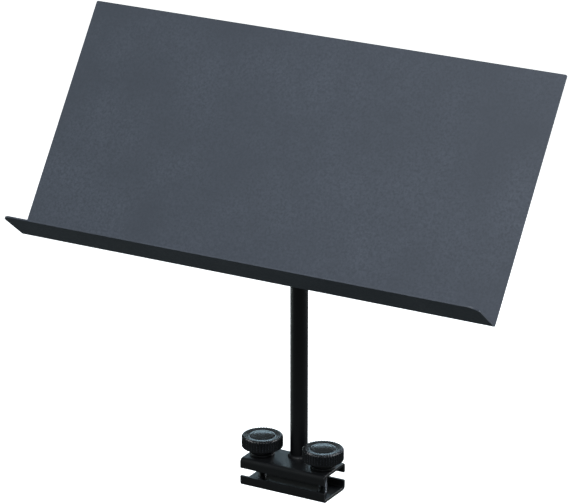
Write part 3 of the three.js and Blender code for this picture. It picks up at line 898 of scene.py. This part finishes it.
def ear_outline(shoulder):
    """A bracket ear's side outline as (y, z): full height at the desk and drawn in to the round eye."""
    half = BRACKET_HEIGHT / 2
    tangent = math.atan2(half, shoulder) - math.acos(BRACKET_EYE / math.hypot(shoulder, half))
    back = DESK_BACK_Y - 2
    return [
        (back, -half),
        (shoulder, -half),
        *arc((0, 0), BRACKET_EYE, -tangent, tangent, 40),
        (shoulder, half),
        (back, half),
    ]


def bracket_hole(side, inner_x, place):
    """The cutter for the bolt in a bracket's ear: a square on the left, for the bolt's neck, and a round."""
    ear = place @ Matrix.Translation((inner_x - BRACKET_SHEET - 1, 0, 0)) @ TO_X
    depth = BRACKET_SHEET + 2
    if side == "left":
        return mesh_object("cutter", prism(rounded_square(SQUARE_HOLE / 2, 0.4), 0, depth), ear)
    return cylinder(BOLT_RADIUS + GAP, 0, depth, ear)


def tilt_bracket(side):
    """A folded angle bracket, drawn on the left of the pole and turned half round for the right."""
    low, high = box_mm("tilt_bracket_left")
    edge_x, inner_x = low.x, high.x
    face_y = DESK_BACK_Y + GAP
    half = BRACKET_HEIGHT / 2
    corners = [Vector((edge_x, face_y)), Vector((inner_x, face_y)), Vector((inner_x, BRACKET_EYE + 1))]
    outline = folded_outline(corners, BRACKET_SHEET, BRACKET_BEND_OUTSIDE)
    turn = Matrix.Rotation(math.pi, 4, "Y") if side == "right" else Matrix.Identity(4)
    place = DESK @ turn
    bracket = mesh_object(f"hinge_bracket_{side}", prism(outline, -half, half), place)
    shoulder = face_y + BRACKET_BEND_OUTSIDE + GAP
    side_view = mesh_object("cutter", prism(ear_outline(shoulder), edge_x - 1, inner_x + 1, "x"), place)
    combined(bracket, [side_view], "INTERSECT")
    cutters = []
    stud = on_desk("weld_stud_left_upper")
    for level in (1, -1):
        hole = place @ Matrix.Translation((-abs(stud.x), face_y - 1, level * abs(stud.z))) @ TO_Y
        cutters.append(cylinder(STUD_RADIUS + GAP, 0, BRACKET_SHEET + 2, hole))
        corner = BRACKET_CORNER
        waste = arc((corner, corner), corner, math.pi, 1.5 * math.pi, 10)
        waste += [(corner, -1), (-1, -1), (-1, corner)]
        waste = [(edge_x + a, level * (b - half)) for a, b in waste]
        slab = prism(waste, face_y - 1, face_y + BRACKET_SHEET + 1, "y")
        cutters.append(mesh_object("cutter", slab, place))
    cutters.append(bracket_hole(side, inner_x, place))
    combined(bracket, cutters, "DIFFERENCE")
    dressed(rounded(bracket, BRACKET_ROUND), BLACK_PAINT, "black_paint", "desk", f"tilt_bracket_{side}")


def stud_length(node):
    """The length of a stud along the desk's +Y, from its vertices in the desk's own frame."""
    inverse = DESK.inverted()
    ys = [(inverse @ (v.co / MM)).y for v in frame["nodes"][node].data.vertices]
    return max(ys) - min(ys)


def bracket_fixings():
    """The weld studs and nuts that hold the two brackets."""
    stud_y = DESK_BACK_Y + GAP
    nut_y = DESK_BACK_Y + 2 * GAP + BRACKET_SHEET
    for name, turn in STUD_TURN.items():
        centre = on_desk(f"weld_stud_{name}")
        seat = DESK @ Matrix.Translation((centre.x, stud_y, centre.z)) @ TO_Y
        stud = weld_stud(f"threaded_stud_{name}", stud_length(f"weld_stud_{name}"), seat)
        dressed(stud, ZINC_STEEL, "zinc_steel", "desk", f"weld_stud_{name}")
        seat = DESK @ Matrix.Translation((centre.x, nut_y, centre.z)) @ TO_Y
        nut = flange_nut(f"hex_flange_nut_{name}", seat @ Matrix.Rotation(turn, 4, "Z"))
        dressed(nut, ZINC_STEEL, "zinc_steel", "desk", f"flange_nut_{name}")


def tilt_hardware():
    """The pivot bolt, its washer and its knob, along X through the hinge."""
    low, high = box_mm("pivot_bolt")
    seat = low.x + HEAD_HEIGHT
    bolt = carriage_bolt("hinge_carriage_bolt", high.x - seat, PIVOT_NECK, on_hinge(seat))
    dressed(bolt, ZINC_STEEL, "zinc_steel", "desk", "pivot_bolt")
    low, high = box_mm("tilt_washer")
    flat = washer("flat_washer_tilt", (high.y - low.y) / 2, high.x - low.x, on_hinge(low.x))
    dressed(flat, ZINC_STEEL, "zinc_steel", "desk", "tilt_washer")
    low, high = box_mm("knob_shell_tilt")
    knob("tilt", TILT_KNOB, on_hinge(low.x))


def friction_discs():
    for side in ("left", "right"):
        node = f"friction_disc_{side}"
        low, high = box_mm(node)
        place = Matrix.Translation((low.x, HINGE.y, HINGE.z)) @ TO_X
        disc = washer(f"nylon_disc_{side}", (high.y - low.y) / 2, high.x - low.x, place)
        dressed(disc, GREY_NYLON, "grey_nylon", "frame", node)


# ---- Pole ----


def pole():
    low, high = box_mm("pole_tube")
    centre = (low + high) / 2
    radius = (high.x - low.x) / 2
    length = high.z - low.z
    inner = radius - POLE_WALL
    soft = 0.3
    softer = soft * 0.3
    profile = [(inner + soft, 0), (radius - soft, 0), (radius - softer, softer), (radius, soft)]
    profile += [(radius, length * i / 12) for i in range(1, 12)]
    profile += [(radius, length - soft), (radius - softer, length - softer), (radius - soft, length)]
    profile += [(inner + soft, length), (inner, length - soft), (inner, soft)]
    tube = mesh_object("pole", lathe(profile, 96), Matrix.Translation((centre.x, centre.y, low.z)))
    combined(tube, [pin_hole()], "DIFFERENCE")
    dressed(smoothed(tube), BLACK_PAINT, "black_paint", "frame", "pole_tube")


def pin_hole():
    reach = 12
    return cylinder(PIN_HOLE, -reach, reach, Matrix.Translation(centre_mm("head_pin")) @ TO_X, 40)


def pole_head():
    """A flat-sided eye on a collar, with a spigot down the tube."""
    tube_low, tube_high = box_mm("pole_tube")
    tube_radius = (tube_high.x - tube_low.x) / 2
    half = box_mm("friction_disc_right")[0].x - GAP
    collar_foot = tube_high.z + GAP
    collar_top = collar_foot + HEAD_COLLAR
    eye_foot = collar_top - HINGE.z - 0.3
    eye = [(-tube_radius, eye_foot), (tube_radius, eye_foot)]
    eye += arc((0, 0), HEAD_EYE, -HEAD_EYE_WRAP, math.pi + HEAD_EYE_WRAP, 64)
    head = mesh_object("hinge_eye", prism(eye, -half, half, "x"), Matrix.Translation((0, HINGE.y, HINGE.z)))
    upright = Matrix.Translation((0, HINGE.y, 0))
    collar = cylinder(tube_radius, collar_foot, collar_top, upright, 96)
    spigot_radius = tube_radius - POLE_WALL - GAP
    spigot = cylinder(spigot_radius, collar_foot - HEAD_SPIGOT, collar_foot + 0.3, upright, 96)
    combined(head, [collar, spigot], "UNION")
    through = Matrix.Translation((0, HINGE.y, HINGE.z)) @ TO_X
    combined(head, [cylinder(BOLT_RADIUS + GAP, -9, 9, through), pin_hole()], "DIFFERENCE")
    dressed(rounded(head, HEAD_ROUND), BLACK_PAINT, "black_paint", "frame", "pole_head")


def head_pin():
    """A slotted spring pin, rolled from sheet."""
    low, high = box_mm("head_pin")
    centre = (low + high) / 2
    radius = (high.z - low.z) / 2
    section = arc((0, 0), radius, PIN_SLOT, 2 * math.pi - PIN_SLOT, 40)
    section += arc((0, 0), radius - PIN_SHEET, 2 * math.pi - PIN_SLOT, PIN_SLOT, 40)
    place = Matrix.Translation((low.x, centre.y, centre.z)) @ TO_X
    pin = mesh_object("spring_pin", prism(section, 0, high.x - low.x), place)
    dressed(rounded(pin, PIN_ROUND, 2), ZINC_STEEL, "zinc_steel", "frame", "head_pin")


# ---- Clamp ----


def jaw_channel(name, node, holes, turned_over):
    """A folded channel with its web on top, or below if it is turned over, cut by its holes."""
    low, high = box_mm(node)
    half = (high.y - low.y) / 2
    height = high.z - low.z
    corners = [Vector((half, 0)), Vector((half, height)), Vector((-half, height)), Vector((-half, 0))]
    outline = folded_outline(corners, JAW_SHEET, JAW_BEND_OUTSIDE, 12)
    if turned_over:
        place = Matrix.Translation((0, 0, high.z)) @ Matrix.Rotation(math.pi, 4, "X")
    else:
        place = Matrix.Translation((0, 0, low.z))
    jaw = mesh_object(name, prism(outline, low.x, high.x, "x"), place)
    combined(jaw, holes, "DIFFERENCE")
    return rounded(jaw, JAW_ROUND, 4)


def clamp_jaws():
    centres = [centre_mm(f"clamp_bolt_{side}") for side in ("left", "right")]
    places = [Matrix.Translation((centre.x, centre.y, 0)) for centre in centres]
    round_holes = [cylinder(BOLT_HOLE, -5, 15, place) for place in places]
    fixed = jaw_channel("fixed_clamp_jaw", "fixed_jaw", round_holes, turned_over=False)
    dressed(fixed, BLACK_PAINT, "black_paint", "frame", "fixed_jaw")
    square = rounded_square(SQUARE_HOLE / 2, 0.5)
    square_holes = [mesh_object("cutter", prism(square, -25, 0), place) for place in places]
    moving = jaw_channel("moving_clamp_jaw", "moving_jaw", square_holes, turned_over=True)
    dressed(moving, BLACK_PAINT, "black_paint", "jaw", "moving_jaw")


def clamp_hardware():
    """Each side's bolt, washer and knob."""
    for side in ("left", "right"):
        low, high = box_mm(f"clamp_bolt_{side}")
        x, y = (low.x + high.x) / 2, (low.y + high.y) / 2
        seat = low.z + HEAD_HEIGHT
        place = Matrix.Translation((x, y, seat))
        bolt = carriage_bolt(f"clamp_carriage_bolt_{side}", high.z - seat, CLAMP_NECK, place)
        # The clamp bolt and washer take the darkened zinc, painted shade for where they sit under the knob.
        dressed(bolt, ZINC_IN_PAINTED_SHADE, "zinc_steel", "jaw", f"clamp_bolt_{side}")
        low, high = box_mm(f"knob_washer_{side}")
        place = Matrix.Translation((x, y, low.z))
        flat = washer(f"flat_washer_{side}", (high.x - low.x) / 2, high.z - low.z, place)
        dressed(flat, ZINC_IN_PAINTED_SHADE, "zinc_steel", "frame", f"knob_washer_{side}")
        low, high = box_mm(f"knob_shell_{side}")
        knob(side, CLAMP_KNOB, Matrix.Translation((x, y, low.z)))


def foot_weld():
    """The weld bead round the pole's foot. At the back it runs down over the jaw's bend."""
    low, high = box_mm("pole_tube")
    jaw_high = box_mm("fixed_jaw")[1]
    centre = (low + high) / 2
    radius = (high.x - low.x) / 2
    bend_y = jaw_high.y - JAW_BEND_OUTSIDE
    furthest_y = jaw_high.y - 0.1
    sunk = 0.15  # how far the toe goes into the jaw and the head into the tube

    def jaw_z(y):
        over = min(max(y - bend_y, 0), JAW_BEND_OUTSIDE * 0.97)
        return jaw_high.z - JAW_BEND_OUTSIDE + math.sqrt(JAW_BEND_OUTSIDE**2 - over**2)

    steps = 240
    across = 8
    sections = []
    for i in range(steps):
        angle = 2 * math.pi * i / steps
        out = Vector((math.cos(angle), math.sin(angle), 0))
        wander = noise.noise(Vector((3 * math.cos(angle), 3 * math.sin(angle), 5)))
        leg = WELD_LEG + WELD_WANDER * wander
        beat = (i * WELD_RIPPLES / steps + 0.25 * wander) % 1
        ripple = 0.16 * math.sin(math.pi * beat) ** 0.7
        reach = radius + leg
        toe_y = centre.y + out.y * reach
        if toe_y > furthest_y:
            reach = (furthest_y - centre.y) / out.y
            toe_y = furthest_y
        toe = Vector((centre.x, centre.y, 0)) + out * reach
        toe.z = jaw_z(toe_y) - sunk
        head = Vector((centre.x, centre.y, low.z + leg)) + out * (radius - sunk)
        outward = Vector((out.x, out.y, 1)).normalized()
        section = []
        for k in range(across + 1):
            share = k / across
            swell = math.sin(math.pi * share) * (0.45 + ripple)
            section.append(head.lerp(toe, share) + outward * swell)
        section.append(Vector((toe.x, toe.y, toe.z - 0.4)) - out * 1.2)
        section.append(Vector((centre.x, centre.y, low.z - 0.1)) + out * (radius - 0.6))
        sections.append(section)
    bead = smoothed(mesh_object("foot_weld", loft(sections, loop=True)), 60)
    dressed(bead, WELD_PAINT, "black_paint", "frame")


# ---- Stage, light and camera ----


def world():
    """A dim sky, darker below the horizon."""
    sky = bpy.data.worlds.new("studio")
    bpy.context.scene.world = sky
    sky.use_nodes = True
    nodes, links = sky.node_tree.nodes, sky.node_tree.links
    background = nodes["Background"]
    background.inputs["Color"].default_value = (0.86, 0.97, 0.97, 1)
    direction = nodes.new("ShaderNodeTexCoord")
    split = nodes.new("ShaderNodeSeparateXYZ")
    fade = nodes.new("ShaderNodeMapRange")
    for socket, value in zip(("From Min", "From Max", "To Min", "To Max"), (-0.3, 0.9, *WORLD_STRENGTH)):
        fade.inputs[socket].default_value = value
    links.new(direction.outputs["Generated"], split.inputs["Vector"])
    links.new(split.outputs["Z"], fade.inputs["Value"])
    links.new(fade.outputs["Result"], background.inputs["Strength"])


def floor():
    """A plain pale floor that doesn't light the object."""
    bpy.ops.mesh.primitive_plane_add(size=60, location=(0, 0, FLOOR_Z))
    plane = bpy.context.object
    plane.name = "floor"
    paper = Finish("paper", Roughness=0.9, Emission_Color=(1, 1, 1, 1), Emission_Strength=PAPER_GLOW)
    tone = paper.ramp(paper.noise(3, 3), 0.3, 0.7, 0, 1)
    paper.colour(paper.mix(tone, (0.93, 0.93, 0.93), (0.95, 0.95, 0.95)))
    plane.data.materials.append(paper.material)
    plane.visible_diffuse = False
    plane.visible_glossy = False


def area_light(name, at, toward, size, power, colour):
    data = bpy.data.lights.new(name, "AREA")
    data.shape = "RECTANGLE"
    data.size, data.size_y = size
    data.energy = power
    data.color = colour
    light = bpy.data.objects.new(name, data)
    bpy.context.scene.collection.objects.link(light)
    light.visible_camera = False
    light.location = at
    light.rotation_euler = (Vector(toward) - Vector(at)).to_track_quat("-Z", "Y").to_euler()


def lights():
    middle = (0, 0, 0.25)
    foot = (0, 0, 0.05)
    area_light("key", (0.75, -1.3, 2.2), middle, (1.2, 0.9), 43, (0.95, 0.97, 1))
    area_light("back", (-1.2, 2.3, 0.62), foot, (2.2, 0.3), 7, (0.6, 0.84, 1))
    area_light("right", (1.4, 1.4, 1.75), foot, (0.8, 0.8), 22, (0.72, 0.83, 1))
    area_light("rear", (1.3, 2.2, 0.5), middle, (1.2, 1.0), 30, (0.95, 0.98, 1))
    area_light("left", (-2.2, -0.25, 0.2), foot, (0.3, 1.5), 13, (0.86, 1, 0.97))


def camera():
    data = bpy.data.cameras.new("camera")
    data.sensor_width = SENSOR
    data.lens = LENS
    data.clip_start = 0.1
    data.clip_end = 100
    obj = bpy.data.objects.new("camera", data)
    bpy.context.scene.collection.objects.link(obj)
    back = Vector((
        math.sin(VIEW_YAW) * math.cos(VIEW_PITCH),
        -math.cos(VIEW_YAW) * math.cos(VIEW_PITCH),
        math.sin(VIEW_PITCH),
    ))
    obj.location = VIEW_TARGET + back * VIEW_DISTANCE
    obj.rotation_euler = (-back).to_track_quat("-Z", "Y").to_euler()
    bpy.context.scene.camera = obj


desk_sheet()
tilt_bracket("left")
tilt_bracket("right")
bracket_fixings()
tilt_hardware()
friction_discs()
pole()
pole_head()
head_pin()
clamp_jaws()
clamp_hardware()
foot_weld()
world()
floor()
lights()
camera()
bpy.context.scene.view_settings.view_transform = "Standard"
